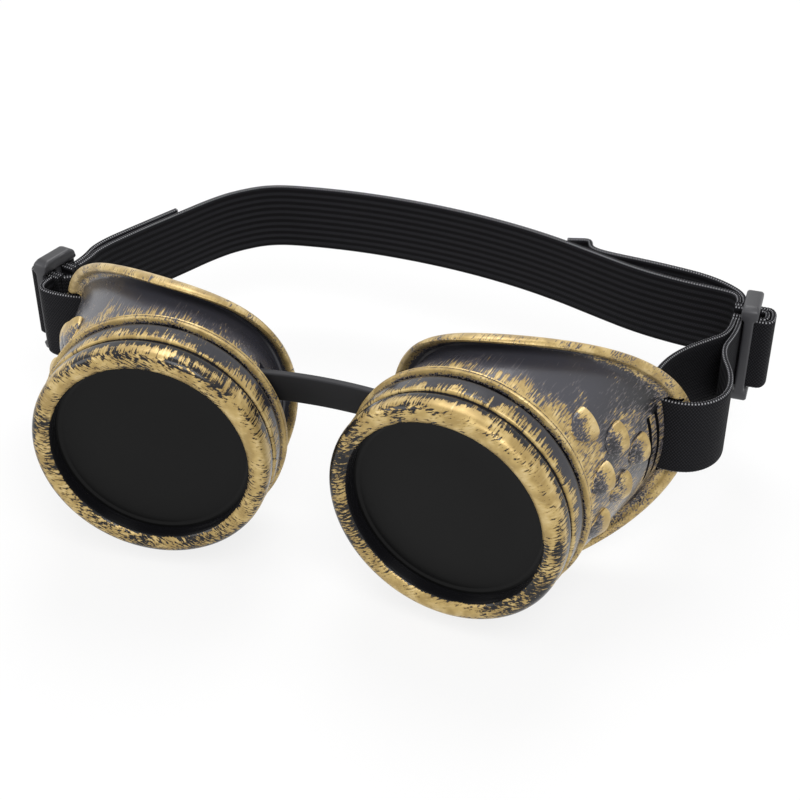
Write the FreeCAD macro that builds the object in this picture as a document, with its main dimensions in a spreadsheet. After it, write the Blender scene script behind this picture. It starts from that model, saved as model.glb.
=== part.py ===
import FreeCAD, Part
import math
import os

import Sketcher
from FreeCAD import Placement, Rotation, Vector

# Round-lens goggles: two eyecups on a rubber nose bridge, screw-on bezel rings that hold the lenses,
# and an elastic head strap with a three-bar slider on each side.
# Frame: origin on the wearer's face between the eyes, +X to the right as seen from in front,
# +Y back towards the head, +Z up. Millimetres and degrees.

SIZES = (
    # Where the two eyecups stand
    ("lens_half_spacing", 34.4, "middle of the goggles to a lens axis at the front of the bezel"),
    ("toe_in", 8.4, "angle that each lens axis turns in towards the nose"),
    ("face_depth", 30.0, "front of the bezels to the wearer's face datum"),
    # Lens and screw ring
    ("lens_radius", 25.0, "standard 50 mm round lens"),
    ("lens_thickness", 2.0, "lens"),
    ("lens_gap", 0.3, "lens edge to its seat"),
    ("aperture_radius", 23.0, "visible opening of the ring"),
    ("aperture_edge", 1.6, "front of the ring to the edge of the opening"),
    ("lip_depth", 4.4, "front of the ring to the front of the lens"),
    ("bezel_radius", 2.5, "outside of the rounded bezel, beyond the lens seat"),
    ("bezel_round", 2.2, "rounding of the bezel's front"),
    ("bezel_depth", 6.0, "front of the ring to its groove"),
    ("groove_width", 0.8, "groove between bezel and band"),
    ("groove_depth", 0.8, "groove between bezel and band"),
    ("band_radius", 2.0, "outside of the band behind the groove, beyond the thread"),
    ("ring_depth", 12.4, "whole length of the ring"),
    # Threaded neck and bead of the eyecup
    ("thread_radius", 25.9, "outside of the neck's thread"),
    ("thread_gap", 0.2, "neck to the inside of the ring"),
    ("neck_bore", 23.2, "inside of the neck"),
    ("seat_gap", 0.1, "back of the lens to the front of the neck"),
    ("shoulder_gap", 0.8, "end of the ring to the bead"),
    ("bead_radius", 0.8, "bead behind the ring, beyond the radius of the shell"),
    ("bead_depth", 1.9, "bead behind the ring"),
    ("bead_round", 0.4, "rounding of the bead"),
    # Shell of the eyecup, which flares towards the temple
    ("shell_radius", 28.2, "outside of the shell at the bead"),
    ("shell_length", 43.5, "start of the shell in the bead to its far oval"),
    ("temple_shift", 9.6, "far oval out towards the temple"),
    ("far_half_width", 25.4, "far oval"),
    ("far_half_height", 28.2, "far oval"),
    ("wall", 2.0, "shell wall"),
    ("rim_width", 4.1, "rolled rim beyond the shell"),
    ("rim_thickness", 1.8, "rolled rim"),
    ("saddle_radius", 12.8, "curve of the rim over cheek and brow, beyond the radius of the shell"),
    ("saddle_yaw", 18.9, "slant of the rim back to the temple"),
    ("saddle_depth", 55.8, "tip of the rim at the temple, behind the front of the bezel"),
    # Hooded vents and slits on the temple side
    ("hood_radius", 3.3, "ball of each hooded vent"),
    ("hood_sink", 1.2, "ball's centre below the outside of the shell"),
    ("hood_first_depth", 20.9, "first hood of the long row, in front of the slits"),
    ("hood_first_height", 17.8, "first hood of the long row"),
    ("hood_step_depth", 7.5, "hood to hood along a row"),
    ("hood_step_height", 6.6, "hood to hood along a row"),
    ("hood_row_depth", 8.2, "row to row, forwards"),
    ("hood_row_height", 5.2, "row to row, downwards"),
    ("slit_depth", 7.6, "first vent slit, in front of the strap slot"),
    ("slit_step", 3.5, "slit to slit"),
    ("slit_width", 1.3, "vent slit"),
    ("slit_height", 17.0, "vent slit"),
    # Elastic strap
    ("strap_width", 19.0, "elastic"),
    ("strap_thickness", 1.2, "elastic"),
    ("strap_level", 1.0, "middle of the strap above the lens axes"),
    ("strap_slot_depth", 5.8, "slot in the temple wall for the strap, in front of the tip of the rim"),
    ("slot_clearance", 0.6, "strap to the sides of its slot"),
    ("strap_turn_in", 5.0, "slot to the strap's sewn turn inside the cup"),
    ("strap_turn_out", 6.0, "slot to the strap's bend outside the cup"),
    ("strap_return", 3.4, "sewn turn inside the cup"),
    ("strap_gap", 0.8, "between two lengths of elastic"),
    ("strap_lead", 4.0, "straight elastic next to a slider"),
    ("ply_gap", 0.25, "between two layers of elastic in a slider"),
    # Nose bridge
    ("bridge_height", 7.2, "rubber strip"),
    ("bridge_thickness", 2.0, "rubber strip"),
    ("bridge_level", 11.4, "middle of the strip above the lens axes"),
    ("bridge_bow", 1.0, "strip bows back in the middle"),
    ("bridge_depth", 17.6, "strip behind the front of the bezels, in the cup"),
    ("bridge_clearance", 1.4, "strip to each side of its slot in the cup"),
    ("bridge_head", 1.8, "length of the head that stops the strip in the cup"),
    ("bridge_head_gap", 4.2, "head to the inside of the cup, room for the cup to swivel"),
    ("bridge_head_thickness", 4.0, "head that stops the strip in the cup"),
    # Three-bar sliders
    ("slider_bar", 1.6, "width of the outer bars"),
    ("slider_middle_bar", 2.2, "width of the middle bar"),
    ("slider_window", 3.4, "width of each window"),
    ("slider_thickness", 2.4, "bars"),
    ("slider_block", 3.6, "height of each end block"),
    ("slider_block_thickness", 4.2, "end blocks"),
    ("slider_clearance", 0.5, "strap to the ends and bars of the slider"),
    ("slider_round", 1.6, "rounding of the end blocks"),
    ("right_slider_out", 6.7, "tip of the rim to the middle of the right slider, sideways"),
    ("right_slider_back", 40.0, "tip of the rim to the middle of the right slider, towards the head"),
    ("right_slider_turn", 0.0, "right slider leans in towards the head"),
    ("left_slider_out", 6.6, "tip of the rim to the middle of the left slider, sideways"),
    ("left_slider_back", 6.6, "tip of the rim to the middle of the left slider, towards the head"),
    ("left_slider_turn", 13.0, "left slider leans in towards the head"),
)

HOOD_ROWS = (3, 2, 1)
SLIT_COUNT = 2


class Size:
    """A number together with the expression that gives it from the sheet."""

    def __init__(self, value, text):
        self.value = value
        self.text = text

    def joined(self, other, sign, value):
        return Size(value, f"({self.text} {sign} {other.text})")

    def __add__(self, other):
        other = as_size(other)
        return self.joined(other, "+", self.value + other.value)

    def __sub__(self, other):
        other = as_size(other)
        return self.joined(other, "-", self.value - other.value)

    def __mul__(self, other):
        other = as_size(other)
        return self.joined(other, "*", self.value * other.value)

    def __truediv__(self, other):
        other = as_size(other)
        return self.joined(other, "/", self.value / other.value)

    def __neg__(self):
        return Size(-self.value, f"(0 - {self.text})")


def as_size(value):
    return value if isinstance(value, Size) else Size(value, str(value))


doc = FreeCAD.newDocument("Goggles")
sheet = doc.addObject("Spreadsheet::Sheet", "Sizes")
for row, (alias, value, note) in enumerate(SIZES, 1):
    sheet.set(f"A{row}", alias)
    sheet.set(f"B{row}", str(value))
    sheet.set(f"C{row}", note)
    sheet.setAlias(f"B{row}", alias)
doc.recompute()

size = {alias: Size(sheet.get(alias), f"Sizes.{alias}") for alias, value, note in SIZES}


def number(alias):
    return size[alias].value


def bind(item, **bindings):
    """Bind properties of a document object to sizes; a double underscore stands for a dot."""
    for name, value in bindings.items():
        item.setExpression(name.replace("__", "."), as_size(value).text)


# Helpers for sketches and bodies

def origin_plane(body, role):
    return next(feature for feature in body.Origin.OriginFeatures if feature.Role == role)


def new_body(name):
    body = doc.addObject("PartDesign::Body", name)
    body.Label = name
    return body


def new_sketch(body, name, role="XY_Plane"):
    sketch = body.newObject("Sketcher::SketchObject", name)
    sketch.AttachmentSupport = [(origin_plane(body, role), "")]
    sketch.MapMode = "FlatFace"
    return sketch


def hold_point(sketch, line, x, y):
    """Hold the start of a line at a distance from the sketch's origin on both axes."""
    for kind, value, axis in (("DistanceX", x, -2), ("DistanceY", y, -1)):
        value = as_size(value)
        if value.text == "0":
            sketch.addConstraint(Sketcher.Constraint("PointOnObject", line, 1, axis))
            continue
        ends = (-1, 1, line, 1) if value.value > 0 else (line, 1, -1, 1)
        index = sketch.addConstraint(Sketcher.Constraint(kind, *ends, abs(value.value)))
        sketch.setExpression(f"Constraints[{index}]", value.text if value.value > 0 else (-value).text)


def polygon(sketch, corners):
    """Closed outline of straight lines through corners given as pairs of sizes."""
    points = [Vector(as_size(x).value, as_size(y).value, 0) for x, y in corners]
    first = sketch.GeometryCount
    for start, end in zip(points, points[1:] + points[:1]):
        sketch.addGeometry(Part.LineSegment(start, end))
    last = first + len(points) - 1
    for line in range(first, last + 1):
        following = first if line == last else line + 1
        sketch.addConstraint(Sketcher.Constraint("Coincident", line, 2, following, 1))
    for line, (x, y) in zip(range(first, last + 1), corners):
        hold_point(sketch, line, x, y)


def rectangle(sketch, x_low, x_high, y_low, y_high):
    polygon(sketch, ((x_low, y_low), (x_high, y_low), (x_high, y_high), (x_low, y_high)))


def pad(body, sketch, name, length):
    feature = body.newObject("PartDesign::Pad", name)
    feature.Profile = sketch
    feature.SideType = "Symmetric"
    bind(feature, Length=length)
    return feature


def revolve(body, sketch, name):
    feature = body.newObject("PartDesign::Revolution", name)
    feature.Profile = sketch
    feature.ReferenceAxis = (sketch, ["V_Axis"])
    feature.Angle = 360
    return feature


def round_edges(body, name, radius, wanted):
    """Fillet the edges of the body's last feature that the test picks."""
    doc.recompute()
    base = body.Tip
    edges = [f"Edge{i}" for i, edge in enumerate(base.Shape.Edges, 1) if wanted(edge)]
    feature = body.newObject("PartDesign::Fillet", name)
    feature.Base = (base, edges)
    bind(feature, Radius=radius)
    return feature


def circle_at(edge, radius, depth):
    """True for a full circle round the lens axis at this radius and depth."""
    curve = edge.Curve
    return (
        isinstance(curve, Part.Circle)
        and abs(curve.Radius - radius.value) < 1e-4
        and abs(curve.Center.y - depth.value) < 1e-4
    )


# Frame of an eyecup: its own Y runs back from the front of the bezel along the lens axis

cup_origin = Vector(number("lens_half_spacing"), -number("face_depth"), 0)
cup_placement = Placement(cup_origin, Rotation(Vector(0, 0, 1), -number("toe_in")))


def from_cup(out, depth, up=0.0):
    """A point in the right eyecup's frame, in the frame of the part."""
    return cup_placement.multVec(Vector(out, depth, up))


# Screw ring: rounded bezel, groove and band in one turned piece

lip_depth = size["lip_depth"]
lens_back = lip_depth + size["lens_thickness"]
neck_front = lens_back + size["seat_gap"]
bead_front = size["ring_depth"] + size["shoulder_gap"]
bead_back = bead_front + size["bead_depth"]
seat_radius = size["lens_radius"] + size["lens_gap"]
skirt_bore = size["thread_radius"] + size["thread_gap"]
seat_end = lens_back - size["thread_gap"]
groove_end = size["bezel_depth"] + size["groove_width"]
bezel_outside = seat_radius + size["bezel_radius"]
groove_radius = bezel_outside - size["groove_depth"]
band_outside = skirt_bore + size["band_radius"]


def make_ring(name):
    body = new_body(name)
    sketch = new_sketch(body, name + "_profile")
    polygon(sketch, (
        (size["aperture_radius"], size["aperture_edge"]),
        (size["aperture_radius"] + size["aperture_edge"], 0),
        (bezel_outside, 0),
        (bezel_outside, size["bezel_depth"]),
        (groove_radius, size["bezel_depth"]),
        (groove_radius, groove_end),
        (band_outside, groove_end),
        (band_outside, size["ring_depth"]),
        (skirt_bore, size["ring_depth"]),
        (skirt_bore, seat_end),
        (seat_radius, seat_end),
        (seat_radius, lip_depth),
        (size["aperture_radius"], lip_depth),
    ))
    revolve(body, sketch, name + "_turned")
    round_edges(
        body, name + "_front", size["bezel_round"],
        lambda edge: circle_at(edge, bezel_outside, as_size(0)),
    )
    return body


def make_lens(name):
    body = new_body(name)
    sketch = new_sketch(body, name + "_profile")
    rectangle(sketch, 0, size["lens_radius"], lip_depth, lens_back)
    revolve(body, sketch, name + "_disc")
    return body


# Eyecup: neck and bead turned round the lens axis, shell lofted to the temple, saddle-shaped rim

bead_outside = size["shell_radius"] + size["bead_radius"]
shell_start = bead_front + size["bead_depth"] / 2
rim_end = size["saddle_depth"]
loft_end = rim_end + size["rim_thickness"]
loft_share = (loft_end - shell_start) / size["shell_length"]
strap_slot = rim_end - size["strap_slot_depth"]
first_slit = strap_slot - size["slit_depth"]
first_hood = first_slit.value - number("hood_first_depth")


def shell_oval(depth):
    """Middle, half width and half height of the shell's outside at a depth."""
    share = (depth - shell_start.value) / number("shell_length")
    half_width = number("shell_radius") + share * (number("far_half_width") - number("shell_radius"))
    half_height = number("shell_radius") + share * (number("far_half_height") - number("shell_radius"))
    return share * number("temple_shift"), half_width, half_height


def wall_out(depth, up):
    """Outside of the shell on the temple side, from the lens axis."""
    middle, half_width, half_height = shell_oval(depth)
    return middle + half_width * math.sqrt(1 - (up / half_height) ** 2)


def wall_in(depth, up):
    """Outside of the shell on the nose side, from the lens axis."""
    middle, half_width, half_height = shell_oval(depth)
    return middle - half_width * math.sqrt(1 - (up / half_height) ** 2)


# The rim follows a round bar that slants back to the temple

rim_slant = math.radians(number("saddle_yaw"))
rim_curve = size["shell_radius"] + size["saddle_radius"]
rim_reach = wall_out(rim_end.value, 0) + number("rim_width")
rim_axis_depth = rim_end.value - rim_reach * math.tan(rim_slant) - rim_curve.value / math.cos(rim_slant)
rim_tip = from_cup(rim_reach, rim_end.value)


# The far oval stands upright where it is higher than wide

oval_sizes = ["far_half_width", "far_half_height"]
oval_sizes.sort(key=number, reverse=True)
oval_turn = 180 if oval_sizes[0] == "far_half_width" else 270


def section(name, kind, out, depth):
    """A round or oval section across the lens axis, with its seam on the nose side or underneath."""
    item = doc.addObject(kind, name)
    item.Placement.Rotation = Rotation(Vector(1, 0, 0), 90) * Rotation(Vector(0, 0, 1), oval_turn)
    bind(item, Placement__Base__x=out, Placement__Base__y=depth)
    return item


def shell_loft(name, beyond):
    """Loft of the shell, its surface moved out by a distance."""
    near = section(name + "_near", "Part::Circle", 0, shell_start)
    bind(near, Radius=size["shell_radius"] + beyond)
    far = section(name + "_far", "Part::Ellipse", size["temple_shift"] * loft_share, loft_end)
    half_sizes = [
        size["shell_radius"] + (size[far_size] - size["shell_radius"]) * loft_share + beyond
        for far_size in oval_sizes
    ]
    bind(far, MajorRadius=half_sizes[0], MinorRadius=half_sizes[1])
    loft = doc.addObject("Part::Loft", name)
    loft.Sections = [near, far]
    loft.Solid = True
    loft.Ruled = True
    return loft


def saddle(name, radius):
    """Round bar that bounds the rim, slanting back to the temple."""
    bar = doc.addObject("Part::Cylinder", name)
    reach = rim_curve * 2
    bind(bar, Radius=radius, Height=reach * 2)
    along = Vector(math.cos(rim_slant), math.sin(rim_slant), 0)
    start = Vector(0, rim_axis_depth, 0) - along * reach.value
    bar.Placement = Placement(start, Rotation(Vector(0, 0, 1), along))
    return bar


def boolean(name, kind, *items):
    item = doc.addObject(kind, name)
    if kind in ("Part::Cut", "Part::Fuse"):
        item.Base, item.Tool = items
    else:
        item.Shapes = list(items)
    return item


# Where the nose bridge passes the wall, and where its stop head starts

bridge_out = wall_in(number("bridge_depth"), number("bridge_level")) + number("wall") / 2
bridge_end = from_cup(bridge_out, number("bridge_depth"))
high_edge = number("bridge_level") + number("bridge_height") / 2
head_out = wall_in(number("bridge_depth"), high_edge) + number("wall") + number("bridge_head_gap")
head_start = from_cup(head_out, number("bridge_depth"))


def hood_places():
    """Depth and height of each hooded vent: rows of falling length, each further forward and down."""
    for row, count in enumerate(HOOD_ROWS):
        for place in range(row, row + count):
            depth = first_hood + place * number("hood_step_depth")
            up = number("hood_first_height") - place * number("hood_step_height")
            yield depth - row * number("hood_row_depth"), up - row * number("hood_row_height")


def hood(name, depth, up):
    """Ball of a hooded vent, half sunk in the wall with its seam on the inside."""
    ball = doc.addObject("Part::Sphere", name)
    bind(ball, Radius=size["hood_radius"])
    middle = Vector(wall_out(depth, up) - number("hood_sink"), depth, up)
    ball.Placement = Placement(middle, Rotation(Vector(0, 0, 1), 180))
    return ball


def wall_slot(name, depth, width, height, level):
    """Box that cuts a slot through the temple wall."""
    box = doc.addObject("Part::Box", name)
    bind(box, Length=size["shell_radius"], Width=width, Height=height)
    bind(box, Placement__Base__x=size["temple_shift"])
    bind(box, Placement__Base__y=depth - width / 2, Placement__Base__z=level - height / 2)
    return box


def bridge_slot(name):
    """Box that cuts the slot for the nose bridge, square to the strip."""
    box = doc.addObject("Part::Box", name)
    width = size["bridge_thickness"] + size["bridge_clearance"] * 2
    height = size["bridge_height"] + size["bridge_clearance"]
    reach = size["shell_radius"] / 2
    bind(box, Length=reach, Width=width, Height=height)
    turn = Rotation(Vector(0, 0, 1), number("toe_in"))
    middle = Vector(bridge_out, number("bridge_depth"), number("bridge_level"))
    corner = Vector(reach.value, width.value, height.value) / 2
    box.Placement = Placement(middle - turn.multVec(corner), turn)
    return box


def neck_profile(name):
    body = new_body(name)
    sketch = new_sketch(body, name + "_profile")
    polygon(sketch, (
        (size["neck_bore"], neck_front),
        (size["thread_radius"], neck_front),
        (size["thread_radius"], bead_front),
        (bead_outside, bead_front),
        (bead_outside, bead_back),
        (size["neck_bore"], bead_back),
    ))
    revolve(body, sketch, name + "_turned")
    round_edges(
        body, name + "_bead", size["bead_round"],
        lambda edge: any(circle_at(edge, bead_outside, end) for end in (bead_front, bead_back)),
    )
    return body


def make_eyecup(name):
    bound = saddle("rim_bound", rim_curve)
    front_bound = saddle("rim_front", rim_curve - size["rim_thickness"])
    shell = boolean("shell", "Part::MultiCommon", shell_loft("shell_outside", as_size(0)), bound)
    plate = boolean("rim_plate", "Part::MultiCommon", shell_loft("rim_outside", size["rim_width"]), bound)
    rim = boolean("rim", "Part::Cut", plate, front_bound)
    hoods = [hood(f"hood_{i}", depth, up) for i, (depth, up) in enumerate(hood_places(), 1)]
    inside = shell_loft("shell_inside", -size["wall"])
    strap_way = wall_slot(
        "strap_slot", strap_slot, size["strap_thickness"] + size["slot_clearance"] * 2,
        size["strap_width"] + size["slot_clearance"] * 2, size["strap_level"],
    )
    slits = [
        wall_slot(
            f"slit_{i}", first_slit + size["slit_step"] * i,
            size["slit_width"], size["slit_height"], size["strap_level"],
        )
        for i in range(SLIT_COUNT)
    ]
    dressed = boolean("shell_dressed", "Part::MultiFuse", shell, rim, *hoods)
    cuts = boolean("shell_cuts", "Part::MultiFuse", inside, strap_way, bridge_slot("bridge_slot"), *slits)
    hollow = boolean("shell_hollow", "Part::Cut", dressed, cuts)
    cup = boolean(name, "Part::Fuse", neck_profile("neck"), hollow)
    cup.Label = name
    return cup


# Nose bridge: a rubber strip through both cups with a stop head on each end

def make_bridge(name):
    body = new_body(name)
    sketch = new_sketch(body, name + "_outline")
    half = number("bridge_thickness") / 2
    reach = head_start.x
    for offset in (-half, half):
        level = bridge_end.y + offset
        left, right = [Vector(side * bridge_end.x, level, 0) for side in (-1, 1)]
        sketch.addGeometry(Part.Arc(left, Vector(0, level + number("bridge_bow"), 0), right))
        for inner, outer in ((left, -reach), (right, reach)):
            sketch.addGeometry(Part.LineSegment(inner, Vector(outer, level, 0)))
    for end in (-reach, reach):
        corners = [Vector(end, bridge_end.y + offset, 0) for offset in (-half, half)]
        sketch.addGeometry(Part.LineSegment(*corners))
    pad(body, sketch, name + "_strip", size["bridge_height"])
    heads = new_sketch(body, name + "_heads")
    half_head = number("bridge_head_thickness") / 2
    for side in (-1, 1):
        near = side * reach
        far = side * (reach + number("bridge_head"))
        corners = [
            Vector(x, bridge_end.y + y, 0)
            for x, y in ((near, -half_head), (far, -half_head), (far, half_head), (near, half_head))
        ]
        for start, end in zip(corners, corners[1:] + corners[:1]):
            heads.addGeometry(Part.LineSegment(start, end))
    pad(body, heads, name + "_stops", size["bridge_height"])
    body.Placement.Base = Vector(0, 0, number("bridge_level"))
    return body


# Sliders: three bars between two thick rounded end blocks, in a frame whose Y runs along the strap

half_middle = size["slider_middle_bar"] / 2
window_end = half_middle + size["slider_window"]
slider_half_length = window_end + size["slider_bar"]
window_half = size["strap_width"] / 2 + size["slider_clearance"]
slider_half_height = window_half + size["slider_block"]


def make_slider(name, placement):
    body = new_body(name)
    bars = new_sketch(body, name + "_bars", "YZ_Plane")
    rectangle(bars, -slider_half_length, slider_half_length, -slider_half_height, slider_half_height)
    for side in (-1, 1):
        near, far = half_middle * side, window_end * side
        low, high = (near, far) if side > 0 else (far, near)
        rectangle(bars, low, high, -window_half, window_half)
    pad(body, bars, name + "_frame", size["slider_thickness"])
    blocks = new_sketch(body, name + "_blocks", "YZ_Plane")
    for low, high in ((window_half, slider_half_height), (-slider_half_height, -window_half)):
        rectangle(blocks, -slider_half_length, slider_half_length, low, high)
    pad(body, blocks, name + "_ends", size["slider_block_thickness"])
    corner_height = slider_half_height.value
    round_edges(
        body, name + "_round", size["slider_round"],
        lambda edge: abs(abs(edge.CenterOfMass.z) - corner_height) < 1e-4
        and abs(edge.CenterOfMass.x) < 1e-4,
    )
    body.Placement = placement
    return body


# Strap: ribbons of elastic that stand on edge, each along a route of straight runs and round bends

BEND_SHARE = 0.45
half_strap = number("strap_thickness") / 2


def bends(route):
    """Start, centre, radius and turn of the round bend at each inner point of a route."""
    for before, corner, after in zip(route, route[1:], route[2:]):
        come = corner - before
        leave = after - corner
        shorter = min(come.Length, leave.Length)
        come.normalize()
        leave.normalize()
        turn = math.atan2(come.cross(leave).z, come.dot(leave))
        reach = BEND_SHARE * shorter
        radius = reach / math.tan(abs(turn) / 2)
        normal = Vector(-come.y, come.x, 0) * math.copysign(1, turn)
        start = corner - come * reach
        yield start, start + normal * radius, radius, turn


def side_edges(route, offset):
    """Edges of the route moved to its left by an offset, with the two end points."""
    edges = []
    first = (route[1] - route[0]).normalize()
    at = route[0] + Vector(-first.y, first.x, 0) * offset
    begin = at
    for start, centre, radius, turn in bends(route):
        out = (start - centre).normalize()
        size_here = radius - offset if turn > 0 else radius + offset
        points = [
            centre + Rotation(Vector(0, 0, 1), math.degrees(turn) * share).multVec(out) * size_here
            for share in (0, 0.5, 1)
        ]
        edges.append(Part.LineSegment(at, points[0]))
        edges.append(Part.Arc(*points))
        at = points[2]
    last = (route[-1] - route[-2]).normalize()
    end = route[-1] + Vector(-last.y, last.x, 0) * offset
    edges.append(Part.LineSegment(at, end))
    return edges, begin, end


def make_ribbon(name, route, half_thickness=half_strap):
    body = new_body(name)
    sketch = new_sketch(body, name + "_route")
    left, left_begin, left_end = side_edges(route, half_thickness)
    right, right_begin, right_end = side_edges(route, -half_thickness)
    for edge in left + right:
        sketch.addGeometry(edge)
    sketch.addGeometry(Part.LineSegment(left_begin, right_begin))
    sketch.addGeometry(Part.LineSegment(left_end, right_end))
    pad(body, sketch, name + "_elastic", size["strap_width"])
    body.Placement.Base = Vector(0, 0, number("strap_level"))
    return body


# Layers of elastic inside a slider: two lie on its inner side and both arch over its middle bar

ply_gap = number("ply_gap")
arch_rise = number("slider_thickness") / 2 + number("slider_clearance")
outer_layer = -arch_rise - half_strap
inner_layer = outer_layer - number("strap_thickness") - ply_gap
arch_foot = inner_layer - half_strap
arch_half = (number("slider_middle_bar") + number("slider_window")) / 2
arch_inside = arch_half - number("strap_thickness") - ply_gap / 2
arch_outside = arch_half + number("strap_thickness") + ply_gap / 2
leg_end = arch_outside + ply_gap


def make_arch(name, placement):
    """Both layers of elastic as they arch over the middle bar."""
    body = new_body(name)
    sketch = new_sketch(body, name + "_outline")
    for radius in (arch_inside, arch_outside):
        sketch.addGeometry(Part.Arc(
            Vector(arch_rise, -radius, 0), Vector(arch_rise + radius, 0, 0), Vector(arch_rise, radius, 0),
        ))
        for side in (-1, 1):
            start = Vector(arch_foot, side * radius, 0)
            sketch.addGeometry(Part.LineSegment(start, Vector(arch_rise, side * radius, 0)))
    for side in (-1, 1):
        foot = [Vector(arch_foot, side * radius, 0) for radius in (arch_inside, arch_outside)]
        sketch.addGeometry(Part.LineSegment(*foot))
    pad(body, sketch, name + "_elastic", size["strap_width"])
    body.Placement = placement
    return body


# The routes, seen from above; the left ones are laid out as if on the right and then mirrored.
# Points of a leg are given from the tip of the rim, points of a run or tail from the slider's middle,
# and points of the back span as a share of the way across and a distance behind the straight line.

OUTER_LEG = {
    "right": ((5.7, 0.0), (6.3, 9.5), (2.0, 20.5)),
    "left": (),
}
INNER_LEG = {
    "right": ((-11.0, 8.0), (-8.3, 18.0), (-2.4, 26.0)),
    "left": ((-6.6, 3.5), (-2.0, 5.7)),
}
RUN = {
    "right": ((-8.0, 9.8), (-18.5, 11.0), (-30.5, 13.8)),
    "left": ((-5.5, 13.5), (-11.0, 26.5), (-17.4, 40.0)),
}
TAIL = {
    "right": (
        (-7.1, 12.9), (-13.6, 16.0), (-20.6, 17.5), (-29.1, 18.9), (-36.6, 19.7), (-42.1, 21.1), (-47.4, 23.3),
    ),
    "left": ((-3.5, 15.3), (-8.7, 27.3), (-15.1, 40.9)),
}
BACK = (
    (0.086, 5.1), (0.188, 11.3), (0.290, 16.2), (0.408, 20.3), (0.525, 22.9), (0.650, 24.3), (0.776, 23.9),
    (0.870, 22.2), (0.933, 15.4), (0.969, 8.3),
)

slot_depth = strap_slot.value
slot_wall = wall_out(slot_depth, 0) - number("wall") / 2


def slider_placement(side):
    """Where a slider stands, as if on the right."""
    place = Vector(number(side + "_slider_out"), number(side + "_slider_back"), number("strap_level"))
    return Placement(rim_tip + place, Rotation(Vector(0, 0, 1), number(side + "_slider_turn")))


def flat(point):
    return Vector(point.x, point.y, 0)


def in_slider(side, points):
    """Points in a slider's own frame, in the frame of the part."""
    stand = slider_placement(side)
    return [flat(stand.multVec(Vector(*point, 0))) for point in points]


def points_from(middle, points):
    return [flat(middle) + Vector(*point, 0) for point in points]


def leg_routes(side):
    """Routes of the outer and inner legs of the loop between slider and cup."""
    inside = slot_wall - number("strap_turn_in")
    lead = -slider_half_length.value - number("strap_lead")
    slot_in = flat(from_cup(inside, slot_depth))
    slot_out = flat(from_cup(slot_wall + number("strap_turn_out"), slot_depth))
    rest = flat(from_cup(inside, slot_depth + number("strap_return")))
    inner_start = rest + (rest - slot_in).normalize() * number("strap_gap")
    inner_end = [(inner_layer, lead), (inner_layer, -leg_end)]
    if side == "left":
        inner_end = [(arch_foot - number("strap_gap"), -arch_half)]
    outer = [rest, slot_in, slot_out]
    outer += points_from(rim_tip, OUTER_LEG[side])
    outer += in_slider(side, ((outer_layer, lead), (outer_layer, -leg_end)))
    inner = [inner_start]
    inner += points_from(rim_tip, INNER_LEG[side])
    inner += in_slider(side, inner_end)
    return outer, inner


def free_route(side, layer, points):
    """Route of a run or tail that leaves the slider on one of its layers."""
    start = in_slider(side, ((layer, leg_end), (layer, leg_end + number("strap_lead"))))
    return start + points_from(slider_placement(side).Base, points)


def back_route(right_end, left_end):
    """Route of the span behind the head, between the ends of the two runs."""
    across = left_end - right_end
    inner = [right_end + across * share + Vector(0, behind, 0) for share, behind in BACK]
    first = right_end + (inner[0] - right_end).normalize() * number("strap_gap")
    last = left_end + (inner[-1] - left_end).normalize() * number("strap_gap")
    return [first] + inner + [last]


def mirrored(route):
    return [Vector(-point.x, point.y, 0) for point in route]


def place_on(side, item):
    """Turn a piece that was laid out on the right into the left one."""
    if side == "right":
        return item
    copy = doc.addObject("Part::Mirroring", item.Label.replace("right_", "left_", 1))
    copy.Source = item
    copy.Normal = Vector(1, 0, 0)
    copy.Label = copy.Name
    return copy


# Build

pieces = []
for name, make in (("eyecup", make_eyecup), ("bezel_ring", make_ring), ("lens", make_lens)):
    right = make("right_" + name)
    right.Placement = cup_placement
    pieces += [right, place_on("left", right)]

pieces.append(make_bridge("nose_bridge"))

run_ends = []
for side in ("right", "left"):
    stand = slider_placement(side)
    if side == "left":
        flip = Rotation(Vector(0, 0, 1), 180 - number("left_slider_turn"))
        stand = Placement(Vector(-stand.Base.x, stand.Base.y, stand.Base.z), flip)
    pieces.append(make_slider(side + "_slider", stand))
    pieces.append(make_arch(side + "_strap_arch", stand))
    outer, inner = leg_routes(side)
    run = free_route(side, inner_layer, RUN[side])
    tail = free_route(side, outer_layer, TAIL[side])
    routes = {"strap_outer_leg": outer, "strap_inner_leg": inner, "strap_run": run, "strap_tail": tail}
    for name, route in routes.items():
        if side == "left":
            route = mirrored(route)
        pieces.append(make_ribbon(f"{side}_{name}", route))
    run_ends.append(run[-1] if side == "right" else mirrored(run)[-1])

pieces.append(make_ribbon("strap_back", back_route(*run_ends)))

doc.recompute()

# Check everything, then write one file for each piece

for item in doc.Objects:
    if "Invalid" in item.State or "Error" in item.State:
        raise RuntimeError(f"{item.Label} failed: {item.State}")
for piece in pieces:
    if piece.Shape.isNull() or not piece.Shape.isValid() or len(piece.Shape.Solids) != 1:
        raise RuntimeError(f"{piece.Label}: {len(piece.Shape.Solids)} solids")

os.makedirs("parts", exist_ok=True)
for piece in pieces:
    piece.Shape.exportStep(f"parts/{piece.Label}.step")
    print(f"{piece.Label}: {piece.Shape.Volume:.1f} mm3")
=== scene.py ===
import math

import bmesh
import bpy
from mathutils import Matrix, Vector


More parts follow.
